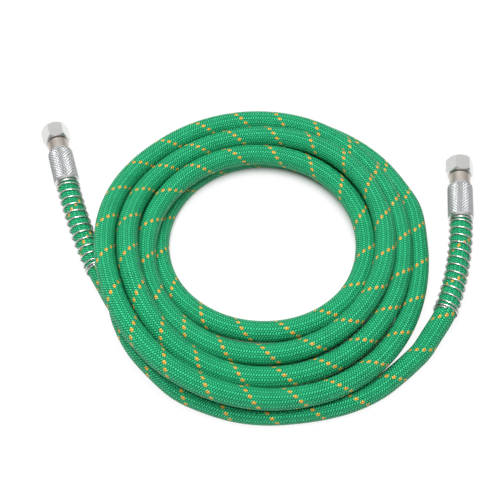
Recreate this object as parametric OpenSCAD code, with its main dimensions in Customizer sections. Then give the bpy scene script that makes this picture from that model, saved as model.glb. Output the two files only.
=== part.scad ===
// Coiled high-pressure air hose with a swivel nut, a crimped ferrule and a
// spring bend guard on each end. Millimetres, +Z up, lying on the plane z = 0.
// The origin is under the middle of the whole hose.

/* [Hose] */
// Outside diameter of the braided hose
hose_od = 14; // [13.8:0.05:14]
// Bore of the hose
hose_bore = 8; // [7:0.5:8.5]
// Outside diameter of the inner tube, under the braid
tube_od = 11; // [10.4:0.1:11.6]

/* [Coil] */
// Radius of the centre line where the winding reverses
coil_inner_r = 66; // [66:0.1:66.4]
// Free space between neighbouring turns of one layer
turn_gap = 0.7; // [0.7:0.02:0.8]
// Free space between the two layers
layer_gap = 0.5; // [0.5:0.1:1]
// Share of the hose's diameter that is pressed flat against the ground
foot_share = 0.1; // [0.095:0.005:0.105]

/* [Swivel nut] */
// Width of the nut across its flats
nut_af = 17; // [17:0.5:19]
// Length of the nut
nut_l = 12.5; // [12:0.5:15]
// Inside diameter of the female thread at its crests
thread_minor_d = 11.445; // [11.4:0.005:11.6]
// Depth of the thread, measured from the mouth
thread_l = 6; // [5:0.5:6.5]
// Inside diameter of the relief behind the thread
relief_d = 12.6; // [12.2:0.1:13.2]
// Depth of the countersink at the mouth of the thread
mouth_chamfer = 0.9; // [0.4:0.1:1.2]
// Depth of the corner chamfer at both ends of the nut
corner_chamfer = 1.6; // [1:0.1:1.8]
// Roll of the left nut about its own axis
left_roll = 36; // [0:1:59]
// Roll of the right nut about its own axis
right_roll = 36; // [0:1:59]

/* [Stem] */
// Diameter of the neck on which the nut turns
neck_d = 9.4; // [9:0.1:9.8]
// Radial running clearance of the nut on the neck
running_gap = 0.06; // [0.03:0.01:0.1]
// End float of the nut, shared by its two shoulders
nut_float = 0.8; // [0.6:0.1:1]
// Diameter of the nose that seals in the cone of the mating fitting
nose_d = 10.9; // [10.5:0.1:11]
// Length of the nose in front of the shoulder
nose_l = 2.6; // [2:0.2:3]
// Small diameter of the nose cone
nose_tip_d = 7.6; // [7:0.1:8]
// Through bore of the stem
stem_bore = 5; // [4:0.5:5.5]
// Diameter of the smooth collar behind the nut
collar_d = 14.5; // [14:0.5:16]
// Length of the smooth collar
collar_l = 8; // [6:0.5:9]
// Diameter of the groove that the ferrule is crimped into
groove_d = 10; // [9.6:0.1:10.4]
// Width of that groove
groove_l = 3; // [2.4:0.2:4]
// Number of barbs on the tail
barb_count = 6; // [3:1:6]
// Length of one barb
barb_pitch = 3.2; // [2.8:0.1:3.4]
// Height of a barb above the root of the tail
barb_rise = 0.5; // [0.3:0.1:0.6]

/* [Ferrule] */
// Wall of the ferrule round the pressed hose
ferrule_wall = 2; // [2:0.1:2.4]
// Length of the ferrule
ferrule_l = 29; // [28:0.5:30]
// How much thinner the hose is pressed inside the ferrule
crimp_squeeze = 1; // [0.6:0.1:1.2]
// Depth of the bell mouth towards the spring
mouth_l = 3; // [2:0.5:4]
// How much wider than the hose the bell mouth is
mouth_room = 1.2; // [0.8:0.1:1.4]
// Edge rounding of the ferrule
ferrule_edge = 0.6; // [0.3:0.1:0.8]

/* [Spring guard] */
// Diameter of the spring wire
wire_d = 1.2; // [1:0.1:1.2]
// Radial room between the hose and the wire
spring_room = 0.15; // [0.15:0.05:0.3]
// Number of closed turns that butt on the ferrule
start_turns = 1; // [0.5:0.25:2]
// Number of open turns
open_turns = 11.5; // [8:0.5:12]
// Number of closed turns at the free end
end_turns = 1.75; // [1:0.25:2]
// Pitch of the open turns
open_pitch = 5.9; // [4:0.1:6.2]
// Free space between closed turns
closed_gap = 0.55; // [0.5:0.05:0.8]

/* [Hidden] */

// Clearance between pieces that sit in one another without moving
seat = 0.05;
// Clearance between the spring and the ferrule that it butts on
butt_gap = 0.3;
crimp_d = hose_od - crimp_squeeze;
ferrule_d = crimp_d + 2 * ferrule_wall;
mouth_d = hose_od + mouth_room;
spring_mean_d = hose_od + wire_d + 2 * spring_room;
nut_corner_r = nut_af / 2 / cos(30);
// Height of both fittings, so that a turning nut clears the ground
axis_z = nut_corner_r + 0.1;

// Centre of the coil, and how far its top layer has slid towards the front
coil_x = 4;
coil_y = 8.5;
top_shift = [0, -7.5];
// Angles along the winding: its start, its reversal, the middle of its climb, and its end
coil_start = -15;
reverse_at = 630;
climb_at = 590;
climb_half = 82;
coil_end = 1800;
reverse_ease = 20;
// Where a turn rides over what lies under it: angle, half width and rise
rides = [
    [1080, 128, 9],
    [1279, 66, 16.8],
    [1645, 78, 17.4],
    [1800, 92, -8.5],
];
// Where a turn lies closer in: angle, half width and distance
tucks = [
    [1080, 78, 2.8],
    [1272, 50, 4],
    [1440, 80, 5.4],
    [1632, 50, 4],
    [1800, 70, 8.2],
];
foot_cut = foot_share * hose_od;
coil_pitch = hose_od + turn_gap;
low_z = hose_od / 2 - foot_cut;
layer_rise = hose_od + layer_gap;
ring_step = 15;
coil_sides = 6;
lead_sides = 12;

// Where the ferrule's hose end lies, and the heading from there to the nut
left_mouth = [-131.9, 56.4];
left_heading = 106;
left_bend_r = -420;
right_mouth = [141.3, 26.4];
right_heading = 85.5;
right_bend_r = 225;

// Route of the left lead, from the spring guard to the coil; heights are above a lying hose
left_points = [
    [-99.5, -23, 3.6],
    [-90, -39, 2.2],
    [-78, -53, 1],
    [-65, -65.5, 0.3],
    [-51, -76, 0],
    [-34, -85, 0],
    [-14, -91, 0],
    [2, -93, 0],
    [23, -92, 0],
    [42, -86, 0],
    [60, -75, 0],
    [75, -60, 0],
    [85, -44, 0],
];
// Route of the right lead, from the coil to the spring guard
right_points = [
    [108, 34, 4.6],
    [101, 52, 2.6],
    [87.8, 73.8, 0.8],
    [69.8, 91, 0],
    [46.4, 104, 0],
    [22, 112, 0],
    [-1, 113, 0],
    [-26, 109, 0],
    [-48, 100, 0],
    [-67, 86, 0],
    [-80.5, 67.5, 0],
    [-89, 50, 0.2],
    [-94, 33, 2.4],
    [-95, 15, 6.2],
    [-93.5, -2, 11.6],
    [-92, -20, 16.4],
    [-89.5, -38, 17],
    [-85, -56, 16.4],
    [-76, -73, 14.2],
    [-62, -88, 10],
    [-48, -99, 5.6],
    [-31, -106, 2.2],
    [-13, -111, 0.4],
    [5, -113, 0],
    [25, -112, 0],
    [44, -109, 0],
    [61, -104, 0],
    [77, -96, 0],
    [90, -86, 0],
    [100, -77, 0],
    [107, -70, 0.6],
    [114.8, -58.8, 2.4],
];

// Smooth step from 0 to 1
function ease(t) = t <= 0 ? 0 : t >= 1 ? 1 : (1 - cos(180 * t)) / 2;
// Smooth hump of height 1 and half width w around 0
function hump(d, w) = abs(d) >= w ? 0 : (1 + cos(180 * d / w)) / 2;
function sum(v, i = 0) = i >= len(v) ? 0 : v[i] + sum(v, i + 1);
function unit(v) = v / norm(v);
function heading_vector(h) = [cos(h), sin(h), 0];

// The winding: in on the ground, up in half a turn, and out on top
function half_turn(a, at) = ease((a - at + climb_half) / (2 * climb_half));
function humps(table, a) = sum([for (one = table) one[2] * hump(a - one[0], one[1])]);
function coil_r(a) =
    coil_inner_r
    + coil_pitch * sqrt(pow(a - reverse_at, 2) + pow(reverse_ease, 2)) / 360
    - humps(tucks, a);
function coil_z(a) =
    low_z
    + layer_rise * half_turn(a, climb_at)
    + humps(rides, a);
function coil_at(a) = [
    coil_x + half_turn(a, reverse_at) * top_shift[0] + coil_r(a) * cos(a),
    coil_y + half_turn(a, reverse_at) * top_shift[1] + coil_r(a) * sin(a),
    coil_z(a)
];
// Each end of the winding runs straight for one hose diameter
function coil_tail(a, way) = coil_at(a) + way * hose_od * unit(coil_at(a + 1) - coil_at(a - 1));
coil_route = concat(
    [coil_tail(coil_start, -1)],
    [for (a = [coil_start:ring_step:coil_end]) coil_at(a)],
    [coil_tail(coil_end, 1)]
);

// A fitting's axis, s millimetres from the ferrule's mouth into the hose
function axis_turn(s, bend_r) = bend_r == 0 ? 0 : s / bend_r * 180 / PI;
function axis_dir(s, heading, bend_r) = -heading_vector(heading - axis_turn(s, bend_r));
function axis_at(s, mouth, heading, bend_r) =
    [mouth[0], mouth[1], axis_z] + (s <= 0 || bend_r == 0
        ? s * axis_dir(0, heading, 0)
        : bend_r * (heading_vector(heading + 90) - heading_vector(heading + 90 - axis_turn(s, bend_r))));

// The spring guard, counted in turns from the end that butts on the ferrule
closed_pitch = wire_d + closed_gap;
spring_turns = start_turns + open_turns + end_turns;
spring_start = wire_d / 2 + butt_gap;
function spring_s(t) = spring_start
    + closed_pitch * t
    + (open_pitch - closed_pitch) * max(0, min(t - start_turns, open_turns));
spring_l = spring_s(spring_turns);
// Flat stretches keep the mean radius of a turn when its corners stand out a little
curl_rings = 8;
spring_corner_r = spring_mean_d / (1 + cos(180 / curl_rings));
function spring_out(t, heading, bend_r) =
    heading_vector(heading - axis_turn(spring_s(t), bend_r) + 90) * cos(360 * t)
    + [0, 0, 1] * sin(360 * t);
function spring_at(t, mouth, heading, bend_r) =
    axis_at(spring_s(t), mouth, heading, bend_r) + spring_corner_r * spring_out(t, heading, bend_r);

// The hose is pressed thinner in the ferrule and swells to its size in the bell mouth
lead_stations = [-mouth_l, 2, 12, 24, 37, 50, 63, spring_l + 2];
function lead_r(s) = (crimp_d + (hose_od - crimp_d) * ease((s + mouth_l) / mouth_l)) / 2;
function lying(points) = [for (p = points) [p[0], p[1], low_z + p[2]]];
left_route = concat(
    [for (s = lead_stations) axis_at(s, left_mouth, left_heading, left_bend_r)],
    lying(left_points),
    [coil_route[0]]
);
right_route = concat(
    [coil_route[len(coil_route) - 1]],
    lying(right_points),
    [for (i = [len(lead_stations) - 1:-1:0]) axis_at(lead_stations[i], right_mouth, right_heading, right_bend_r)]
);
function full_r(n) = [for (i = [1:1:n]) hose_od / 2];
left_radii = concat([for (s = lead_stations) lead_r(s)], full_r(len(left_points) + 1));
right_radii = concat(
    full_r(len(right_points) + 1),
    [for (i = [len(lead_stations) - 1:-1:0]) lead_r(lead_stations[i])]
);

// Directions along a route, with given ones at its two ends
function route_dirs(p, first, last) = [
    for (i = [0:len(p) - 1])
        i == 0 ? first : i == len(p) - 1 ? last : unit(unit(p[i + 1] - p[i]) + unit(p[i] - p[i - 1]))
];
coil_first = unit(coil_route[1] - coil_route[0]);
coil_last = unit(coil_route[len(coil_route) - 1] - coil_route[len(coil_route) - 2]);
coil_dirs = route_dirs(coil_route, coil_first, coil_last);
left_dirs = route_dirs(left_route, axis_dir(0, left_heading, 0), coil_first);
right_dirs = route_dirs(right_route, coil_last, -axis_dir(0, right_heading, 0));

// One ring of a tube, square to its direction, with a corner along "out"
function ring(p, dir, out, r, sides) =
    let (u = unit(out - (out * dir) * dir), v = cross(dir, u))
    [for (k = [0:sides - 1]) p + r * (u * cos(360 * k / sides) + v * sin(360 * k / sides))];

// A closed tube from rings of equal length
module tube(rings) {
    n = len(rings[0]);
    last = len(rings) - 1;
    points = [for (one = rings) for (p = one) p];
    walls = [
        for (i = [0:last - 1]) for (k = [0:n - 1])
            let (a = i * n + k, b = i * n + (k + 1) % n)
            each [[a, b, b + n], [a, b + n, a + n]]
    ];
    caps = [for (k = [1:n - 2]) each [[0, k + 1, k], [last * n, last * n + k, last * n + k + 1]]];
    polyhedron(points = points, faces = concat(walls, caps));
}

// A hose tube, flattened where it lies on the ground
module hose_tube(route, dirs, radii, sides) {
    reach = 400;
    difference() {
        tube([for (i = [0:len(route) - 1]) ring(route[i], dirs[i], [0, 0, 1], radii[i], sides)]);
        translate([-reach / 2, -reach / 2, -reach])
            cube([reach, reach, reach]);
    }
}

module hose_coil() {
    color([0.10, 0.62, 0.33])
        hose_tube(coil_route, coil_dirs, full_r(len(coil_route)), coil_sides);
}

module left_lead() {
    color([0.10, 0.66, 0.36])
        hose_tube(left_route, left_dirs, left_radii, lead_sides);
}

module right_lead() {
    color([0.10, 0.66, 0.36])
        hose_tube(right_route, right_dirs, right_radii, lead_sides);
}

// The wire of a spring guard, one unbroken helix round the fitting's axis
module spring_guard(mouth, heading, bend_r) {
    count = floor(spring_turns * curl_rings);
    turns = [for (i = [0:count]) i / curl_rings];
    route = [for (t = turns) spring_at(t, mouth, heading, bend_r)];
    dirs = route_dirs(route, unit(route[1] - route[0]), unit(route[count] - route[count - 1]));
    color([0.78, 0.80, 0.80])
        tube([
            for (i = [0:count])
                ring(route[i], dirs[i], spring_out(turns[i], heading, bend_r), wire_d / 2, 6)
        ]);
}

module left_spring_guard() {
    spring_guard(left_mouth, left_heading, left_bend_r);
}

module right_spring_guard() {
    spring_guard(right_mouth, right_heading, right_bend_r);
}

// Puts a turned piece, drawn along +Z from the ferrule's mouth, on a fitting's axis
module on_axis(mouth, heading) {
    translate([mouth[0], mouth[1], axis_z])
        rotate([0, 90, heading])
            children();
}

// Stations along a fitting, from the ferrule's mouth towards the nut
collar_z = ferrule_l;
neck_z = collar_z + collar_l;
nut_z = neck_z + nut_float / 2;
relief_l = nose_l + nut_float + 0.3;
web_l = nut_l - thread_l - relief_l;
shoulder_z = neck_z + web_l + nut_float;
nose_z = shoulder_z + nose_l;
groove_z = collar_z - groove_l;
tail_z = groove_z - barb_count * barb_pitch;
tail_root_d = hose_bore + 0.4 - 2 * barb_rise;
barb_d = hose_bore + 0.4;
tube_bore = barb_d + 2 * seat;

// Smooth sleeve with a turned-in front lip and a bell mouth towards the spring
module ferrule() {
    r = ferrule_d / 2;
    e = ferrule_edge;
    color([0.80, 0.82, 0.82])
        rotate_extrude($fn = 96)
            polygon([
                [mouth_d / 2, 0],
                [r - e, 0],
                [r, e],
                [r, collar_z - 2 * e],
                [r - 2 * e, collar_z - seat],
                [groove_d / 2 + seat, collar_z - seat],
                [groove_d / 2 + seat, groove_z + seat],
                [crimp_d / 2 + seat, groove_z + seat],
                [crimp_d / 2 + seat, mouth_l],
            ]);
}

module left_ferrule() {
    on_axis(left_mouth, left_heading)
        ferrule();
}

module right_ferrule() {
    on_axis(right_mouth, right_heading)
        ferrule();
}

// Braided cover of the hose inside the ferrule
module hose_end() {
    color([0.07, 0.45, 0.25])
        difference() {
            translate([0, 0, mouth_l])
                cylinder(d = crimp_d, h = groove_z - mouth_l - seat, $fn = 96);
            cylinder(d = tube_od + 2 * seat, h = groove_z, $fn = 96);
        }
}

module left_hose_end() {
    on_axis(left_mouth, left_heading)
        hose_end();
}

module right_hose_end() {
    on_axis(right_mouth, right_heading)
        hose_end();
}

// Inner tube of the hose, pushed over the barbs of the stem
module inner_tube() {
    color([0.16, 0.17, 0.17])
        difference() {
            translate([0, 0, mouth_l])
                cylinder(d = tube_od, h = groove_z - mouth_l - seat, $fn = 96);
            cylinder(d = tube_bore, h = groove_z, $fn = 96);
        }
}

module left_inner_tube() {
    on_axis(left_mouth, left_heading)
        inner_tube();
}

module right_inner_tube() {
    on_axis(right_mouth, right_heading)
        inner_tube();
}

// Turned stem: barbed tail, groove, collar, neck and sealing nose
module stem() {
    barbs = [
        for (i = [0:barb_count - 1])
            each [
                [tail_root_d / 2, tail_z + i * barb_pitch],
                [barb_d / 2, tail_z + (i + 0.85) * barb_pitch],
                [barb_d / 2, tail_z + (i + 1) * barb_pitch],
            ]
    ];
    color([0.74, 0.71, 0.67])
        rotate_extrude($fn = 96)
            polygon(concat(
                [[stem_bore / 2, tail_z]],
                barbs,
                [
                    [groove_d / 2, groove_z],
                    [groove_d / 2, collar_z],
                    [collar_d / 2, collar_z],
                    [collar_d / 2, neck_z - 0.5],
                    [collar_d / 2 - 0.5, neck_z],
                    [neck_d / 2, neck_z],
                    [neck_d / 2, shoulder_z],
                    [nose_d / 2, shoulder_z],
                    [nose_d / 2, shoulder_z + 0.6],
                    [nose_tip_d / 2, nose_z],
                    [stem_bore / 2, nose_z],
                ]
            ));
}

module left_stem() {
    on_axis(left_mouth, left_heading)
        stem();
}

module right_stem() {
    on_axis(right_mouth, right_heading)
        stem();
}

// Hexagon nut: chamfered corners, a female thread, a relief and a neck hole in its web
module swivel_nut(roll) {
    face_r = nut_corner_r - corner_chamfer;
    neck_r = neck_d / 2 + running_gap;
    thread_r = thread_minor_d / 2;
    color([0.82, 0.83, 0.83])
        translate([0, 0, nut_z])
            difference() {
                intersection() {
                    rotate([0, 0, roll])
                        cylinder(r = nut_corner_r, h = nut_l, $fn = 6);
                    rotate_extrude($fn = 96)
                        polygon([
                            [0, 0],
                            [face_r, 0],
                            [nut_corner_r, corner_chamfer],
                            [nut_corner_r, nut_l - corner_chamfer],
                            [face_r, nut_l],
                            [0, nut_l],
                        ]);
                }
                translate([0, 0, -1])
                    cylinder(r = neck_r, h = nut_l, $fn = 96);
                translate([0, 0, web_l])
                    cylinder(d = relief_d, h = relief_l, $fn = 96);
                translate([0, 0, web_l + relief_l])
                    cylinder(r = thread_r, h = nut_l, $fn = 96);
                translate([0, 0, nut_l - mouth_chamfer])
                    cylinder(r1 = thread_r, r2 = thread_r + mouth_chamfer, h = mouth_chamfer, $fn = 96);
            }
}

module left_swivel_nut() {
    on_axis(left_mouth, left_heading)
        swivel_nut(left_roll);
}

module right_swivel_nut() {
    on_axis(right_mouth, right_heading)
        swivel_nut(right_roll);
}

// Least distance between points of a route that are more than "skip" steps apart
function least_apart(p, skip) =
    min([for (i = [0:len(p) - 1]) for (j = [i + skip:1:len(p) - 1]) norm(p[i] - p[j])]);
function between(p) = [for (i = [0:len(p) - 2]) each [p[i], (p[i] + p[i + 1]) / 2]];
echo(coil_gap_to_itself = least_apart(between(coil_route), 12) - hose_od);
left_coil_of_wire = [for (i = [0:floor(spring_turns * curl_rings)])
    spring_at(i / curl_rings, left_mouth, left_heading, left_bend_r)];
right_coil_of_wire = [for (i = [0:floor(spring_turns * curl_rings)])
    spring_at(i / curl_rings, right_mouth, right_heading, right_bend_r)];
echo(left_spring_gap_to_itself = least_apart(between(left_coil_of_wire), curl_rings) - wire_d);
echo(right_spring_gap_to_itself = least_apart(between(right_coil_of_wire), curl_rings) - wire_d);

hose_coil();
left_lead();
right_lead();
left_spring_guard();
right_spring_guard();
left_ferrule();
right_ferrule();
left_hose_end();
right_hose_end();
left_inner_tube();
right_inner_tube();
left_stem();
right_stem();
left_swivel_nut();
right_swivel_nut();
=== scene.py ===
# %% [markdown]
# # A coiled air hose
# The hose is one long textile tube that lies in a flat oval coil. Each end has a knurled
# ferrule, a smooth collar, a hexagon swivel nut and a wire guard that stops it kinking.
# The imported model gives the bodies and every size. This lesson dresses it: one tube for
# the whole hose, round wire for the guards, a knurl for the ferrules, a thread for the
# nuts, and a finish for each of them.

# %% Load the frame
import bpy
import bmesh
import math
from mathutils import Matrix, Vector


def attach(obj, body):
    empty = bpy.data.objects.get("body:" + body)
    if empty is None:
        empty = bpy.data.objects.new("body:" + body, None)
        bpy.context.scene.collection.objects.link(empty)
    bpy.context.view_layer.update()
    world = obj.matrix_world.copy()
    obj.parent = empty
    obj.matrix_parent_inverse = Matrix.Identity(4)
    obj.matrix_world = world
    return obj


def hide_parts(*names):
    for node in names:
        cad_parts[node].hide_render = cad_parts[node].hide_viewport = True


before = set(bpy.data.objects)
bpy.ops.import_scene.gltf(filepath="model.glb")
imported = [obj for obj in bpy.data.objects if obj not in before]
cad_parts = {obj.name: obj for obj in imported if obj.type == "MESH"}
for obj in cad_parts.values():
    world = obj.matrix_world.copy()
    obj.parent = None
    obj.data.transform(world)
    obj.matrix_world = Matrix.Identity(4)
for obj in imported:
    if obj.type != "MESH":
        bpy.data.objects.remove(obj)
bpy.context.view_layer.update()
MM = 0.001

# %% [markdown]
# The camera comes first, because a cord is checked against what it sees. It looks along
# +Y and down at 60 degrees from about 0.7 m away, with a moderate telephoto lens.

# %% Camera
camera_data = bpy.data.cameras.new("camera")
camera_data.sensor_width = 36
camera_data.lens = 74.7
camera = bpy.data.objects.new("camera", camera_data)
camera.location = (-3.7 * MM, -348.0 * MM, 617.8 * MM)
camera.rotation_euler = (math.radians(30), 0, 0)
bpy.context.scene.collection.objects.link(camera)
bpy.context.scene.camera = camera
print("camera", tuple(camera.location))

# %% [markdown]
# The hose runs on one line from ferrule to ferrule. In the coil the line follows a
# formula, the same as the solid's: in on the ground for a turn and three quarters, then
# out again on top for three and a quarter turns. It climbs in half a turn, where the one
# passes into the other. Smooth humps lift a turn where it rides over what lies below,
# lower it where the right lead begins, and tuck it closer in where the coil was pulled
# tight. The leads are free curves through listed points.

# %% Sizes of the hose, in millimetres
HOSE_D = 14
FOOT_CUT = 1.4
LOW_Z = HOSE_D / 2 - FOOT_CUT
COIL = dict(inner_r=66, x=4, y=8.5, top_shift=(0, -7.5), start=-15, end=1800,
            reverse_at=630, reverse_ease=20, climb_at=590, climb_half=82,
            pitch=HOSE_D + 0.7, layer_rise=HOSE_D + 0.5)
RIDES = [(1080, 128, 9), (1279, 66, 16.8), (1645, 78, 17.4), (1800, 92, -8.5)]
TUCKS = [(1080, 78, 2.8), (1272, 50, 4), (1440, 80, 5.4), (1632, 50, 4), (1800, 70, 8.2)]
AXIS_Z = 17 / 2 / math.cos(math.radians(30)) + 0.1
LEFT = dict(mouth=(-131.9, 56.4), heading=106, bend_r=-420)
RIGHT = dict(mouth=(141.3, 26.4), heading=85.5, bend_r=225)
LEFT_POINTS = [
    (-99.5, -23, 3.6), (-90, -39, 2.2), (-78, -53, 1), (-65, -65.5, 0.3), (-51, -76, 0),
    (-34, -85, 0), (-14, -91, 0), (2, -93, 0), (23, -92, 0), (42, -86, 0), (60, -75, 0),
    (75, -60, 0), (85, -44, 0)]
RIGHT_POINTS = [
    (108, 34, 4.6), (101, 52, 2.6), (87.8, 73.8, 0.8), (69.8, 91, 0), (46.4, 104, 0),
    (22, 112, 0), (-1, 113, 0), (-26, 109, 0), (-48, 100, 0), (-67, 86, 0), (-80.5, 67.5, 0),
    (-89, 50, 0.2), (-94, 33, 2.4), (-95, 15, 6.2), (-93.5, -2, 11.6), (-92, -20, 16.4),
    (-89.5, -38, 17), (-85, -56, 16.4), (-76, -73, 14.2), (-62, -88, 10), (-48, -99, 5.6),
    (-31, -106, 2.2), (-13, -111, 0.4), (5, -113, 0), (25, -112, 0), (44, -109, 0),
    (61, -104, 0), (77, -96, 0), (90, -86, 0), (100, -77, 0), (107, -70, 0.6),
    (114.8, -58.8, 2.4)]
STATIONS = (-3, 2, 12, 24, 37, 50, 63)


# %% The coil's formula
def ease(t):
    """A smooth step from 0 to 1."""
    return 0.0 if t <= 0 else 1.0 if t >= 1 else (1 - math.cos(math.pi * t)) / 2


def humps(table, a):
    """The sum of smooth humps, each with its angle, half width and height."""
    return sum(tall * (1 + math.cos(math.pi * (a - at) / half)) / 2
               for at, half, tall in table if abs(a - at) < half)


def coil_at(a):
    """The point of the coil's line at winding angle a, in degrees."""
    rise, slide = (ease((a - COIL[at] + COIL["climb_half"]) / (2 * COIL["climb_half"]))
                   for at in ("climb_at", "reverse_at"))
    from_turning = math.hypot(a - COIL["reverse_at"], COIL["reverse_ease"])
    r = COIL["inner_r"] + COIL["pitch"] * from_turning / 360 - humps(TUCKS, a)
    t = math.radians(a)
    return Vector((COIL["x"] + slide * COIL["top_shift"][0] + r * math.cos(t),
                   COIL["y"] + slide * COIL["top_shift"][1] + r * math.sin(t),
                   LOW_Z + COIL["layer_rise"] * rise + humps(RIDES, a)))


def lying(points):
    """Points whose heights are counted from a hose that lies on the ground."""
    return [Vector((x, y, LOW_Z + up)) for x, y, up in points]


# %% The fittings' axes
def heading_vector(h):
    return Vector((math.cos(math.radians(h)), math.sin(math.radians(h)), 0))


def turned(end, s):
    """How far the axis has turned, in degrees, s millimetres into the hose."""
    return math.degrees(s / end["bend_r"]) if end["bend_r"] and s > 0 else 0.0


def axis_at(end, s):
    """The point of a fitting's axis, s millimetres from the ferrule's mouth into the hose."""
    start = Vector((*end["mouth"], AXIS_Z))
    if s <= 0 or not end["bend_r"]:
        return start - s * heading_vector(end["heading"])
    return start + end["bend_r"] * (heading_vector(end["heading"] + 90)
                                    - heading_vector(end["heading"] + 90 - turned(end, s)))


# %% The wire guards' formula
WIRE_D = 1.2
GUARD = dict(mean_d=15.5, start_turns=1, open_turns=11.5, end_turns=1.75, open_pitch=5.9,
             closed_pitch=WIRE_D + 0.55, start=WIRE_D / 2 + 0.3)
GUARD_TURNS = GUARD["start_turns"] + GUARD["open_turns"] + GUARD["end_turns"]


def guard_s(t):
    """How far along the axis the wire is after t turns."""
    opened = max(0, min(t - GUARD["start_turns"], GUARD["open_turns"]))
    wider = GUARD["open_pitch"] - GUARD["closed_pitch"]
    return GUARD["start"] + GUARD["closed_pitch"] * t + wider * opened


def guard_at(end, t):
    s = guard_s(t)
    side = heading_vector(end["heading"] - turned(end, s) + 90)
    out = side * math.cos(2 * math.pi * t) + Vector((0, 0, math.sin(2 * math.pi * t)))
    return axis_at(end, s) + GUARD["mean_d"] / 2 * out


GUARD_L = guard_s(GUARD_TURNS)
print("guard length", round(GUARD_L, 1))


# %% One smooth line through the whole hose
def smooth_through(points, step):
    """A centripetal curve through the points, as close points."""
    line = []
    pad = [2 * points[0] - points[1], *points, 2 * points[-1] - points[-2]]
    for p0, p1, p2, p3 in zip(pad, pad[1:], pad[2:], pad[3:]):
        t1 = (p1 - p0).length ** 0.5
        t2 = t1 + (p2 - p1).length ** 0.5
        t3 = t2 + (p3 - p2).length ** 0.5
        count = max(1, round((p2 - p1).length / step))
        for i in range(count):
            t = t1 + (t2 - t1) * i / count
            a1 = p0 * ((t1 - t) / t1) + p1 * (t / t1)
            a2 = p1 * ((t2 - t) / (t2 - t1)) + p2 * ((t - t1) / (t2 - t1))
            a3 = p2 * ((t3 - t) / (t3 - t2)) + p3 * ((t - t2) / (t3 - t2))
            b1 = a1 * ((t2 - t) / t2) + a2 * (t / t2)
            b2 = a2 * ((t3 - t) / (t3 - t1)) + a3 * ((t - t1) / (t3 - t1))
            line.append(b1 * ((t2 - t) / (t2 - t1)) + b2 * ((t - t1) / (t2 - t1)))
    return line + [points[-1]]


RING_STEP = 2.4
stations = [*STATIONS, GUARD_L + 2]
coil_line = [coil_at(a) for a in range(COIL["start"], COIL["end"] + 1, 5)]
corners = [axis_at(LEFT, s) for s in stations]
corners += lying(LEFT_POINTS)
corners += coil_line
corners += lying(RIGHT_POINTS)
corners += [axis_at(RIGHT, s) for s in reversed(stations)]
hose_line = smooth_through(corners, RING_STEP)
hose_length = sum((b - a).length for a, b in zip(hose_line, hose_line[1:]))
print("hose line", len(hose_line), "points,", round(hose_length), "mm")

# %% [markdown]
# A tube along a line is what the hose, the wire guards and the threads are, so one node
# tree makes them all. It turns a chain of edges into a curve and sweeps a ring along it,
# which may have shallow ribs for the rows of a braid. The curve's normals are kept level,
# so the ring never twists on its way. The tube keeps a UV map: U goes once round it, and V
# is the length along it in metres. The ring starts and ends at the same place, on the
# coil's outer side, so that the map has a clean seam, and the seam is merged afterwards.
# Points that would sink below the ground are lifted to it, which gives the hose its
# slightly pressed foot.


# %% A helper for node trees
def add_node(tree, kind, settings=None, **inputs):
    """Adds a node; inputs are values or links, by socket name with _ for a space."""
    node = tree.nodes.new(kind)
    for key, value in (settings or {}).items():
        setattr(node, key, value)
    for key, value in inputs.items():
        title = key.replace("_", " ").lower()
        socket = next(s for s in node.inputs if s.enabled and s.name.lower() == title)
        if isinstance(value, bpy.types.NodeSocket):
            tree.links.new(value, socket)
        else:
            socket.default_value = value
    return node


def new_geometry_tree(name, sizes):
    """A geometry tree with one named input for each size, and its group nodes."""
    tree = bpy.data.node_groups.new(name, "GeometryNodeTree")
    tree.interface.new_socket("Geometry", in_out="INPUT", socket_type="NodeSocketGeometry")
    tree.interface.new_socket("Geometry", in_out="OUTPUT", socket_type="NodeSocketGeometry")
    for key, kind in sizes.items():
        tree.interface.new_socket(key, in_out="INPUT", socket_type="NodeSocket" + kind)
    return tree, tree.nodes.new("NodeGroupInput"), tree.nodes.new("NodeGroupOutput")


def finish_tree(tree, out, geometry, material):
    """Every tree ends in Realize Instances and Set Material."""
    real = add_node(tree, "GeometryNodeRealizeInstances", Geometry=geometry)
    done = add_node(tree, "GeometryNodeSetMaterial", Geometry=real.outputs[0], Material=material)
    tree.links.new(done.outputs[0], out.inputs[0])


def mesh_from_tree(obj, tree, **values):
    """Runs a tree on an object with these inputs, and leaves a plain mesh."""
    modifier = obj.modifiers.new("shape", "NODES")
    modifier.node_group = tree
    for item in tree.interface.items_tree:
        if item.in_out == "INPUT" and item.name in values:
            modifier[item.identifier] = values[item.name]
    bpy.context.view_layer.update()
    ready = obj.evaluated_get(bpy.context.evaluated_depsgraph_get())
    shaped = bpy.data.meshes.new_from_object(ready)
    obj.modifiers.remove(modifier)
    obj.data = shaped
    shaped.name = obj.name
    shaped.shade_smooth()
    print(obj.name, len(shaped.vertices), "points,", len(shaped.polygons), "faces")
    return obj


def new_chain(name, points, radii):
    """An object whose mesh is a chain of edges, in metres, with a radius for each point."""
    mesh = bpy.data.meshes.new(name)
    edges = [(i, i + 1) for i in range(len(points) - 1)]
    mesh.from_pydata([tuple(p * MM) for p in points], edges, [])
    width = mesh.attributes.new("tube_radius", "FLOAT", "POINT")
    for i, radius in enumerate(radii):
        width.data[i].value = radius * MM
    obj = bpy.data.objects.new(name, mesh)
    bpy.context.scene.collection.objects.link(obj)
    return obj


# %% [markdown]
# Widths, patterns and finishes are sums over a surface, so they are written as Python
# expressions. A small class wraps a socket, and each operator adds its Math node.


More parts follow.
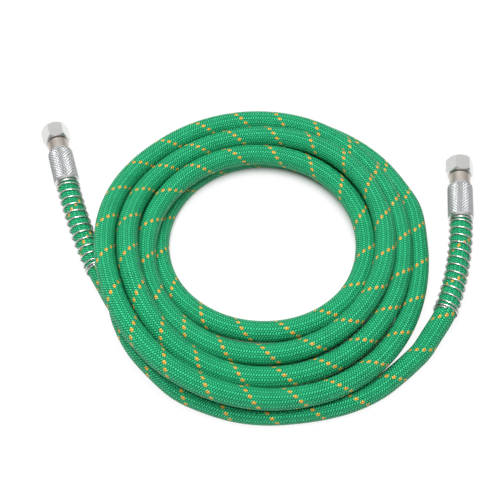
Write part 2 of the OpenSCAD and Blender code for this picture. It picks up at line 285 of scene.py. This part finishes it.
# %% Expressions on values
class Wire:
    """A node's value that can be used in Python expressions."""

    def __init__(self, tree, socket):
        self.tree, self.socket = tree, socket

    def math(self, operation, *others):
        node = self.tree.nodes.new("ShaderNodeMath")
        node.operation = operation
        for i, value in enumerate((self, *others)):
            if isinstance(value, Wire):
                self.tree.links.new(value.socket, node.inputs[i])
            else:
                node.inputs[i].default_value = value
        return Wire(self.tree, node.outputs[0])

    def __add__(self, other): return self.math("ADD", other)
    __radd__ = __add__
    def __mul__(self, other): return self.math("MULTIPLY", other)
    __rmul__ = __mul__
    def __sub__(self, other): return self.math("SUBTRACT", other)
    def __rsub__(self, other): return (self * -1.0) + other
    def __truediv__(self, other): return self.math("DIVIDE", other)
    def __pow__(self, other): return self.math("POWER", other)
    def fraction(self): return self.math("FRACT")
    def floor(self): return self.math("FLOOR")
    def clip(self): return self.math("MAXIMUM", 0.0).math("MINIMUM", 1.0)
    def size(self): return self.math("ABSOLUTE")
    def least(self, other): return self.math("MINIMUM", other)
    def most(self, other): return self.math("MAXIMUM", other)
    def step(self, low, high): return ((self - low) * (1.0 / (high - low))).clip()


# %% The tree of a tube along a line
tube_tree, tube_in, tube_out = new_geometry_tree(
    "tube along a line", {"Sides": "Int", "Ribs": "Int", "Rib Depth": "Float", "Ground": "Float",
                          "Material": "Material"})
line = add_node(tube_tree, "GeometryNodeMeshToCurve", Mesh=tube_in.outputs["Geometry"])
width = add_node(tube_tree, "GeometryNodeInputNamedAttribute", {"data_type": "FLOAT"},
                 Name="tube_radius")
along = tube_tree.nodes.new("GeometryNodeCaptureAttribute")
along.capture_items.new("FLOAT", "along")
level = add_node(tube_tree, "GeometryNodeSetCurveNormal", {"mode": "Z_UP"}, Curve=line.outputs[0])
tube_tree.links.new(level.outputs[0], along.inputs["Geometry"])
length_so_far = tube_tree.nodes.new("GeometryNodeSplineParameter").outputs["Length"]
tube_tree.links.new(length_so_far, along.inputs["along"])
ring_points = add_node(tube_tree, "FunctionNodeIntegerMath", {"operation": "ADD"})
tube_tree.links.new(tube_in.outputs["Sides"], ring_points.inputs[0])
ring_points.inputs[1].default_value = 1
ring = add_node(tube_tree, "GeometryNodeCurveArc", Resolution=ring_points.outputs[0],
                Radius=1.0, Sweep_Angle=2 * math.pi)
around = tube_tree.nodes.new("GeometryNodeCaptureAttribute")
around.capture_items.new("FLOAT", "around")
tube_tree.links.new(ring.outputs[0], around.inputs["Geometry"])
share_of_ring = tube_tree.nodes.new("GeometryNodeSplineParameter").outputs["Factor"]
tube_tree.links.new(share_of_ring, around.inputs["around"])
ribs, rib_depth = (Wire(tube_tree, tube_in.outputs[key]) for key in ("Ribs", "Rib Depth"))
rib_wave = (Wire(tube_tree, around.outputs["around"]) * math.pi * ribs).math("COSINE")
reach = 1 - rib_wave * rib_wave * rib_depth
ribbed = add_node(tube_tree, "ShaderNodeVectorMath", {"operation": "SCALE"}, Scale=reach.socket,
                  Vector=tube_tree.nodes.new("GeometryNodeInputPosition").outputs[0])
profile = add_node(tube_tree, "GeometryNodeSetPosition", Geometry=around.outputs["Geometry"],
                   Position=ribbed.outputs[0])
swept = add_node(tube_tree, "GeometryNodeCurveToMesh",
                 Curve=along.outputs["Geometry"], Profile_Curve=profile.outputs[0],
                 Scale=width.outputs["Attribute"])
chart = add_node(tube_tree, "ShaderNodeCombineXYZ",
                 X=around.outputs["around"], Y=along.outputs["along"])
mapped = add_node(tube_tree, "GeometryNodeStoreNamedAttribute",
                  {"data_type": "FLOAT2", "domain": "CORNER"},
                  Geometry=swept.outputs[0], Name="UVMap", Value=chart.outputs[0])
place = add_node(tube_tree, "ShaderNodeSeparateXYZ",
                 Vector=tube_tree.nodes.new("GeometryNodeInputPosition").outputs[0])
lifted = add_node(tube_tree, "ShaderNodeMath", {"operation": "MAXIMUM"})
tube_tree.links.new(place.outputs[2], lifted.inputs[0])
tube_tree.links.new(tube_in.outputs["Ground"], lifted.inputs[1])
footed = add_node(tube_tree, "ShaderNodeCombineXYZ", X=place.outputs[0], Y=place.outputs[1],
                  Z=lifted.outputs[0])
resting = add_node(tube_tree, "GeometryNodeSetPosition", Geometry=mapped.outputs[0],
                   Position=footed.outputs[0])
merged = add_node(tube_tree, "GeometryNodeMergeByDistance", Geometry=resting.outputs[0],
                  Distance=0.002 * MM)
finish_tree(tube_tree, tube_out, merged.outputs[0], tube_in.outputs["Material"])
print("tube tree", len(tube_tree.nodes), "nodes")


def close_ends(obj):
    """Fills the two open ends of a tube, and points its faces outwards."""
    bm = bmesh.new()
    bm.from_mesh(obj.data)
    rim = [e for e in bm.edges if e.is_boundary]
    bmesh.ops.holes_fill(bm, edges=rim, sides=0)
    bmesh.ops.recalc_face_normals(bm, faces=bm.faces)
    left_open = sum(e.is_boundary for e in bm.edges)
    bm.to_mesh(obj.data)
    bm.free()
    print(obj.name, "open edges", left_open)


# %% [markdown]
# A finish is one Principled shader whose inputs are fed by such expressions. This class
# holds the material and adds its texture nodes.


# %% A helper for finishes
class Finish:
    """A procedural material with one Principled shader."""

    def __init__(self, name, **fixed):
        self.material = bpy.data.materials.new(name)
        self.material.use_nodes = True
        self.tree = self.material.node_tree
        self.shader = self.tree.nodes["Principled BSDF"]
        for key, value in fixed.items():
            self.shader.inputs[key.replace("_", " ")].default_value = value
        self.material.diffuse_color = (*fixed.get("Base_Color", (0.5, 0.5, 0.5, 1))[:3], 1)

    def node(self, kind, settings=None, **inputs):
        plain = {k: v.socket if isinstance(v, Wire) else v for k, v in inputs.items()}
        return add_node(self.tree, kind, settings, **plain)

    def place(self, kind):
        node = self.tree.nodes.get("place") or self.node("ShaderNodeTexCoord")
        node.name = "place"
        return node.outputs[kind]

    def xyz(self, kind):
        parts = self.node("ShaderNodeSeparateXYZ", Vector=self.place(kind))
        return [Wire(self.tree, s) for s in parts.outputs]

    def noise(self, scale, detail=2.0):
        node = self.node("ShaderNodeTexNoise", Vector=self.place("Object"),
                         Scale=scale, Detail=detail)
        return Wire(self.tree, node.outputs[0])

    def mix(self, mask, low, high):
        """A colour between two colours; each is four numbers or a socket."""
        node = self.tree.nodes.new("ShaderNodeMix")
        node.data_type = "RGBA"
        self.tree.links.new(mask.socket, node.inputs[0])
        for i, value in ((6, low), (7, high)):
            if isinstance(value, bpy.types.NodeSocket):
                self.tree.links.new(value, node.inputs[i])
            else:
                node.inputs[i].default_value = value
        return node.outputs[2]

    def bump(self, height, distance, strength=1.0):
        node = self.node("ShaderNodeBump", Strength=strength, Distance=distance, Height=height)
        self.feed("Normal", node.outputs[0])

    def feed(self, name, value):
        socket = value.socket if isinstance(value, Wire) else value
        self.tree.links.new(socket, self.shader.inputs[name])


# %% [markdown]
# The cover is a polyester braid. Its stitches stand in rows along the hose: broad rows of
# long stitches that lie across the hose, and slim rows of short ones between them, set
# half a stitch along and leaning the other way. Each stitch is a small dome. Its colour
# holds painted shade, dark in the grooves round it, and a painted highlight on its smooth
# top, where the lamp also makes it shine. The yarn's gloss is tinted green, as dyed
# polyester's is. The stitches are drawn on the tube's own UV map, so they keep their size
# round every bend. Two noises in space vary their colour.

# %% The braid
braid = Finish("green braid", Roughness=0.42, Specular_IOR_Level=0.85,
               Specular_Tint=(0.25, 1.0, 0.65, 1))
u, v, _ = braid.xyz("UV")
ROWS = 13
BROAD = 0.62
STITCH = 1.7 * MM


def stitch_row(across, lean, lag):
    """One row of domes; across runs from -1 to 1 over the row."""
    y = ((v / STITCH + across * lean + lag).fraction() * 2 - 1) * 1.15
    flank = across * across
    return (1 - flank * flank) * (1 - y * y).clip()


row = (u * ROWS + (1.5 - BROAD / 2)).fraction()
slim = (row - BROAD).step(0.0, 0.004)
broad_row = stitch_row(row / BROAD * 2 - 1, 0.2, 0.0)
slim_row = stitch_row((row - BROAD) / (1 - BROAD) * 2 - 1, -0.25, 0.5)
dome = broad_row * (1 - slim) + slim_row * slim * 0.8
mottle = braid.noise(120.0, 3.0)
streak = braid.noise(1200.0, 2.0)

print("braid", ROWS, "broad rows, a stitch each", STITCH / MM, "mm")

# %% [markdown]
# An orange tracer comes up in short dashes, in rows that slant across the hose. The hose
# is cut into narrow strips along it. Each strip has one dash for every repeat, a step
# further along than in the strip before. The steps of one round add up to more than a
# repeat, so the rows are out of step where the map's seam lies. The distance from the
# middle of the nearest dash, round and along, gives its soft oval.

# %% The tracer
TRACER_REPEAT, TRACER_STEP = 28.0, 3.0
DASHES = 12
DASH_HALF_W, DASH_HALF_L, DASH_LEAN, DASH_CORNER = 1.1, 1.45, 0.25, 1.8
dash = (u * DASHES).floor() + 0.5
off_round = (u - dash / DASHES) * (math.pi * HOSE_D)
repeats = v / (TRACER_REPEAT * MM) - dash * (TRACER_STEP / TRACER_REPEAT)
off_along = ((repeats + 0.5).fraction() - 0.5) * TRACER_REPEAT
leaning = off_along - off_round * DASH_LEAN
span = ((off_round / DASH_HALF_W).size() ** DASH_CORNER
        + (leaning / DASH_HALF_L).size() ** DASH_CORNER)
tracer = 1 - span.step(0.7, 1.2)
print("tracer", DASHES, "dashes to a round, repeated every", TRACER_REPEAT, "mm")

# %% The braid's colours
# Painted shade: the stitch colour goes dark green into the grooves round each dome. The mottle
# noise is the yarn's own uneven tone.
painted_groove_shade_and_mottle = (dome * 0.8 + mottle * 0.4 - 0.1).clip()
green = braid.mix(painted_groove_shade_and_mottle, (0.0, 0.09, 0.03, 1), (0.006, 0.43, 0.165, 1))
# Painted highlight: a pale green on the tops of the domes, broken up by the streak noise.
painted_highlight = (dome * 1.3 - 0.3).clip() * (streak * 0.5 + 0.1)
green = braid.mix(painted_highlight, green, (0.10, 0.85, 0.42, 1))
# Painted shade and light on the tracer too: its orange is darker in the grooves and paler on the
# domes.
orange = braid.mix(dome, (0.60, 0.24, 0.01, 1), (0.94, 0.50, 0.08, 1))
braid.feed("Base Color", braid.mix(tracer, green, orange))
braid.feed("Roughness", 0.8 - dome * 0.48)
braid.bump(dome + tracer * 0.25, 0.5 * MM)

# %% [markdown]
# The hose itself: the tree is run on the line, and the result replaces the three stiff
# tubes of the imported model. Inside each ferrule the hose is pressed thinner, and it
# swells to its full size in the bell mouth.

# %% The hose
PRESSED_BY, SWELLS_OVER, NEAR_MOUTH = 0.5, 3, 6
RIB_DEPTH = 0.025
hose_radii = [HOSE_D / 2] * len(hose_line)
for end in (LEFT, RIGHT):
    start = axis_at(end, STATIONS[0])
    for i, p in enumerate(hose_line):
        gone = (p - start).length
        if gone < NEAR_MOUTH:
            hose_radii[i] = HOSE_D / 2 - PRESSED_BY + PRESSED_BY * ease(gone / SWELLS_OVER)
hose = new_chain("braided_hose", hose_line, hose_radii)
mesh_from_tree(hose, tube_tree, Sides=ROWS * 4, Ribs=ROWS, **{"Rib Depth": RIB_DEPTH}, Ground=0.0,
               Material=braid.material)
close_ends(hose)
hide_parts("hose_coil", "left_lead", "right_lead")
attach(hose, "hose")

# %% [markdown]
# The guards are bright zinc-plated spring wire, round in section. The same tree sweeps
# them along their own winding. A fine noise makes the wire's colour and gloss uneven.

# %% The wire finish
zinc_wire = Finish("zinc wire", Base_Color=(0.66, 0.66, 0.64, 1), Metallic=1.0, Roughness=0.22)
scratch = zinc_wire.noise(700.0, 4.0)
zinc_wire.feed("Roughness", 0.16 + scratch * 0.2)
zinc_wire.feed("Base Color", zinc_wire.mix(scratch, (0.52, 0.52, 0.50, 1), (0.80, 0.80, 0.78, 1)))
print("wire", WIRE_D, "mm")

# %% The wire guards
STEPS_PER_TURN = 40
SIDES = (("left", LEFT), ("right", RIGHT))
for side, end in SIDES:
    steps = round(GUARD_TURNS * STEPS_PER_TURN)
    wire_line = [guard_at(end, GUARD_TURNS * i / steps) for i in range(steps + 1)]
    guard = new_chain(side + "_wire_guard", wire_line, [WIRE_D / 2] * len(wire_line))
    mesh_from_tree(guard, tube_tree, Sides=12, Ribs=0, **{"Rib Depth": 0.0}, Ground=0.0,
                   Material=zinc_wire.material)
    close_ends(guard)
    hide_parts(side + "_spring_guard")
    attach(guard, "hose")

# %% The left mouth and the hose's line, in metres
tuple(axis_at(LEFT, STATIONS[0]) * MM)
[tuple(p * MM) for p in hose_line]

# %% [markdown]
# The ferrule is a steel sleeve, zinc plated, with a fine diamond knurl between two smooth
# lips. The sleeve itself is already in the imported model. The knurl is a band wrapped
# round it: a flat grid of points is rolled up, and each point is raised by two crossing
# triangle waves, so that their valleys cut diamonds. A second tree does that, and it leaves
# each point's height in an attribute before the grid is rolled up.

# %% The tree of a knurled band
knurl_tree, knurl_in, knurl_out = new_geometry_tree(
    "knurled band", {"Radius": "Float", "Length": "Float", "Diamonds": "Int", "Depth": "Float",
                     "Material": "Material"})
DIAMONDS, KNURL_ROWS, PER_DIAMOND, EDGE_SHARE = 24, 12, 8, 1 / 16
flat = add_node(knurl_tree, "GeometryNodeMeshGrid", Size_X=1.0, Size_Y=1.0,
                Vertices_X=DIAMONDS * PER_DIAMOND + 1, Vertices_Y=KNURL_ROWS * PER_DIAMOND + 1)
spot = add_node(knurl_tree, "ShaderNodeSeparateXYZ",
                Vector=knurl_tree.nodes.new("GeometryNodeInputPosition").outputs[0])
round_part = Wire(knurl_tree, spot.outputs[0]) + 0.5
long_part = Wire(knurl_tree, spot.outputs[1]) + 0.5
band = {key: Wire(knurl_tree, knurl_in.outputs[key])
        for key in ("Radius", "Length", "Diamonds", "Depth")}
turn = round_part * band["Diamonds"]
rise = long_part * band["Length"] * band["Diamonds"] / (band["Radius"] * 2 * math.pi)
saw_a = ((turn + rise).fraction() * 2 - 1).size()
saw_b = ((turn - rise).fraction() * 2 - 1).size()
edge = (long_part.least(1 - long_part) * (1 / EDGE_SHARE)).clip()
height = (1 - saw_a.most(saw_b)) * edge
reach_out = band["Radius"] + height * band["Depth"]
angle = round_part * (2 * math.pi)
rolled = add_node(knurl_tree, "ShaderNodeCombineXYZ",
                  X=(angle.math("COSINE") * reach_out).socket,
                  Y=(angle.math("SINE") * reach_out).socket,
                  Z=(long_part * band["Length"]).socket)
marked = add_node(knurl_tree, "GeometryNodeStoreNamedAttribute",
                  {"data_type": "FLOAT", "domain": "POINT"},
                  Geometry=flat.outputs[0], Name="knurl_height", Value=height.socket)
wrapped = add_node(knurl_tree, "GeometryNodeSetPosition", Geometry=marked.outputs[0],
                   Position=rolled.outputs[0])
whole = add_node(knurl_tree, "GeometryNodeMergeByDistance", Geometry=wrapped.outputs[0],
                 Distance=0.001 * MM)
finish_tree(knurl_tree, knurl_out, whole.outputs[0], knurl_in.outputs["Material"])
print("knurl tree", len(knurl_tree.nodes), "nodes")

# %% [markdown]
# Zinc plate is a pale, slightly cloudy metal. In the knurl it looks darker, because the
# valleys lie in shade, so a second finish reads the height that the knurl's tree stored
# and paints that shade into the colour: nearly black in the valleys, and a duller grey
# than the plate's on the diamonds.

# %% The zinc plate finishes
zinc_plate = Finish("zinc plate", Base_Color=(0.72, 0.72, 0.70, 1), Metallic=1.0, Roughness=0.28)
cloud = zinc_plate.noise(90.0, 2.0)
grain = zinc_plate.noise(2600.0, 2.0)
zinc_plate.feed("Base Color", zinc_plate.mix(cloud, (0.68, 0.69, 0.68, 1), (0.77, 0.77, 0.75, 1)))
zinc_plate.feed("Roughness", 0.24 + cloud * 0.06 + grain * 0.06)
zinc_plate.bump(grain, 0.00001, 0.3)
cut_zinc = Finish("knurled zinc", Base_Color=(0.5, 0.5, 0.5, 1), Metallic=1.0, Roughness=0.3)
stored = cut_zinc.node("ShaderNodeAttribute", {"attribute_name": "knurl_height"})
tall = Wire(cut_zinc.tree, stored.outputs["Fac"])
# Painted shade: where the stored height is low, in the knurl's valleys, the colour is nearly
# black.
painted_valley_shade_mask = tall.step(0.12, 0.4)
cut_zinc.feed("Base Color", cut_zinc.mix(painted_valley_shade_mask, (0.04, 0.05, 0.05, 1), (0.56, 0.57, 0.58, 1)))
cut_zinc.feed("Roughness", 0.5 - tall * 0.06)
print("finishes", zinc_plate.material.name, "and", cut_zinc.material.name)


# %% [markdown]
# A turned piece is drawn along +Z from the ferrule's mouth, and this matrix lays it on
# its fitting's axis. The place goes into the mesh, so the object stays at the origin.


# %% Lay a turned piece on its fitting
def lay_on_axis(mesh, end, along_axis=0.0):
    where = Matrix.Translation(Vector((*end["mouth"], AXIS_Z)) * MM)
    heading = Matrix.Rotation(math.radians(end["heading"]), 4, "Z")
    level_down = Matrix.Rotation(math.radians(90), 4, "Y")
    mesh.transform(where @ heading @ level_down @ Matrix.Translation((0, 0, along_axis * MM)))


# %% The knurled bands
FERRULE_L, FERRULE_D, FERRULE_LIP = 29, 17, 0.6
KNURL_R = FERRULE_D / 2 - 0.06
KNURL_L = KNURL_ROWS * 2 * math.pi * KNURL_R / DIAMONDS
KNURL_DEPTH, KNURL_WALL = 0.5, 0.2
for side, end in SIDES:
    seed_mesh = bpy.data.meshes.new(side + "_knurl")
    knurl = bpy.data.objects.new(side + "_knurl", seed_mesh)
    bpy.context.scene.collection.objects.link(knurl)
    mesh_from_tree(knurl, knurl_tree, Radius=KNURL_R * MM, Length=KNURL_L * MM,
                   Diamonds=DIAMONDS, Depth=KNURL_DEPTH * MM, Material=cut_zinc.material)
    lay_on_axis(knurl.data, end, (FERRULE_L - FERRULE_LIP - KNURL_L) / 2)
    bm = bmesh.new()
    bm.from_mesh(knurl.data)
    bmesh.ops.recalc_face_normals(bm, faces=bm.faces)
    bmesh.ops.solidify(bm, geom=bm.faces[:], thickness=KNURL_WALL * MM)
    bm.to_mesh(knurl.data)
    bm.free()
    knurl.data.shade_flat()
    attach(knurl, "hose")

# %% [markdown]
# The nuts' thread is a real helix: a fine ridge, swept by the tube tree, winds along the
# wall of each bore, and it turns with its nut.

# %% The threads
COLLAR_L, NUT_GAP, NUT_L, NUT_CHAMFER = 8, 0.4, 12.5, 0.9
THREAD_L, THREAD_R, THREAD_PITCH, THREAD_INSET = 6, 5.7225, 1.337, 0.25
RIDGE_R, RIDGE_PROUD, FADE_STEPS = 0.42, 0.05, 14
for side, end in SIDES:
    turns = (THREAD_L - NUT_CHAMFER - 2 * THREAD_INSET) / THREAD_PITCH
    steps = round(turns * 36)
    first = FERRULE_L + COLLAR_L + NUT_GAP + NUT_L - THREAD_L + THREAD_INSET
    aside = heading_vector(end["heading"] + 90)
    ridge_line = []
    for i in range(steps + 1):
        swept_round = 2 * math.pi * turns * i / steps
        out = aside * math.cos(swept_round) + Vector((0, 0, math.sin(swept_round)))
        middle = axis_at(end, -(first + THREAD_PITCH * turns * i / steps))
        ridge_line.append(middle + out * (THREAD_R + RIDGE_PROUD))
    fade = [RIDGE_R * min(1, (i + 2) / FADE_STEPS, (steps + 2 - i) / FADE_STEPS)
            for i in range(steps + 1)]
    ridge = new_chain(side + "_thread", ridge_line, fade)
    mesh_from_tree(ridge, tube_tree, Sides=6, Ribs=0, **{"Rib Depth": 0.0}, Ground=0.0,
                   Material=zinc_plate.material)
    close_ends(ridge)
    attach(ridge, side + "_nut")

# %% [markdown]
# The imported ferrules, stems and nuts have the right shapes and stay. They get their
# finishes: zinc plate on the ferrules and nuts, and a warmer nickel plate on the stem,
# whose smooth collar shows between the two. The pressed ends of the hose inside get black
# rubber and a dull green.

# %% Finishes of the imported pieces
nickel = Finish("nickel plate", Base_Color=(0.56, 0.51, 0.46, 1), Metallic=1.0, Roughness=0.42)
turning = nickel.noise(220.0, 3.0)
nickel.feed("Base Color", nickel.mix(turning, (0.52, 0.47, 0.42, 1), (0.60, 0.55, 0.50, 1)))
nickel.feed("Roughness", 0.38 + turning * 0.1)
tube_rubber = Finish("black rubber", Base_Color=(0.02, 0.02, 0.02, 1), Roughness=0.7)
cut_cover = Finish("pressed braid", Base_Color=(0.01, 0.25, 0.1, 1), Roughness=0.7)
for dull in (tube_rubber, cut_cover):
    dull.feed("Roughness", 0.6 + dull.noise(800.0) * 0.25)
DRESS = (("ferrule", zinc_plate), ("swivel_nut", zinc_plate), ("stem", nickel),
         ("inner_tube", tube_rubber), ("hose_end", cut_cover))
for name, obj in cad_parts.items():
    for tail, finish in DRESS:
        if name.endswith(tail):
            obj.data.materials.clear()
            obj.data.materials.append(finish.material)
            print(name, "wears", finish.material.name)

# %% [markdown]
# Metal only looks like metal when it has something to reflect, so mirror-like rays see a
# studio in place of the even world: bright overhead and behind the hose, dim along the
# horizon, and bright again below. The camera sees plain white. Very little light comes
# from the world itself, so the gaps between the turns stay deep.

# %% The studio's world
HORIZON, OVERHEAD, BELOW, AMBIENT = 0.16, 0.58, 0.5, 0.06
world = bpy.data.worlds.new("studio")
bpy.context.scene.world = world
world.use_nodes = True
sky = world.node_tree
sky_way = add_node(sky, "ShaderNodeSeparateXYZ",
                   Vector=add_node(sky, "ShaderNodeTexCoord").outputs["Generated"])
sky_up = Wire(sky, sky_way.outputs[2])
sky_back = Wire(sky, sky_way.outputs[1])
rays = add_node(sky, "ShaderNodeLightPath")
mirror = Wire(sky, rays.outputs["Is Glossy Ray"])
eye = Wire(sky, rays.outputs["Is Camera Ray"])
from_above = (sky_up + sky_back * 0.2).step(0.1, 0.65)
from_below = (sky_up * -1).step(0.0, 0.25)
studio = HORIZON + from_above * OVERHEAD + from_below * BELOW
sky_shader = sky.nodes["Background"]
sky_shader.inputs[0].default_value = (1, 1, 1, 1)
sky.links.new((mirror * studio + eye + (1 - mirror - eye) * AMBIENT).socket, sky_shader.inputs[1])
print("world", len(sky.nodes), "nodes")

# %% [markdown]
# The floor is nearly paper white to the camera, with a faint shadow. In the ring where the
# turns lie over it, it keeps its own deep shade.

# %% The floor
RING_X, RING_Y = 4 * MM, 10 * MM
paper = Finish("white paper", Base_Color=(0.9, 0.9, 0.9, 1), Roughness=0.9)
glow = paper.node("ShaderNodeEmission", Color=(1, 1, 1, 1), Strength=1.0)
sees = paper.node("ShaderNodeLightPath")
px, py, _ = paper.xyz("Object")
off_x, off_y = px - RING_X, py - RING_Y
ring_r = (off_x * off_x + off_y * off_y) ** 0.5
under = ring_r.step(60 * MM, 68 * MM) * (1 - ring_r.step(100 * MM, 108 * MM))
by_eye, by_mirror = (Wire(paper.tree, sees.outputs[key])
                     for key in ("Is Camera Ray", "Is Glossy Ray"))
seen = (by_eye * 0.9 + by_mirror * 0.5).clip()
blend = paper.tree.nodes.new("ShaderNodeMixShader")
paper.tree.links.new((seen * (1 - under)).socket, blend.inputs[0])
paper.tree.links.new(paper.shader.outputs[0], blend.inputs[1])
paper.tree.links.new(glow.outputs[0], blend.inputs[2])
paper.tree.links.new(blend.outputs[0], paper.tree.nodes["Material Output"].inputs[0])
bpy.ops.mesh.primitive_plane_add(size=8, location=(0, 0, 0))
floor = bpy.context.object
floor.name = "floor"
floor.data.materials.append(paper.material)
print("floor", tuple(round(v, 2) for v in floor.dimensions))

# %% [markdown]
# Three square lamps: a key high over the coil, which draws the bright band along every
# turn, a soft one overhead and one behind. Only the key shows in reflections, so that the
# flat sides of the nuts stay an even grey.

# %% The lamps
LAMPS = (("key", (-0.1, -0.15, 1.1), 15.5, 0.6), ("overhead", (-0.2, 0.3, 1.1), 3.5, 0.9),
         ("back", (0.2, 1.0, 0.7), 3, 1.4))
for name, place, power, size in LAMPS:
    lamp_data = bpy.data.lights.new(name, "AREA")
    lamp_data.energy, lamp_data.size = power, size
    lamp = bpy.data.objects.new(name, lamp_data)
    lamp.location = place
    lamp.visible_glossy = name == "key"
    lamp.rotation_euler = (-Vector(place)).to_track_quat("-Z", "Y").to_euler()
    bpy.context.scene.collection.objects.link(lamp)
    print("lamp", name, power, "W")
bpy.context.scene.view_settings.view_transform = "Standard"
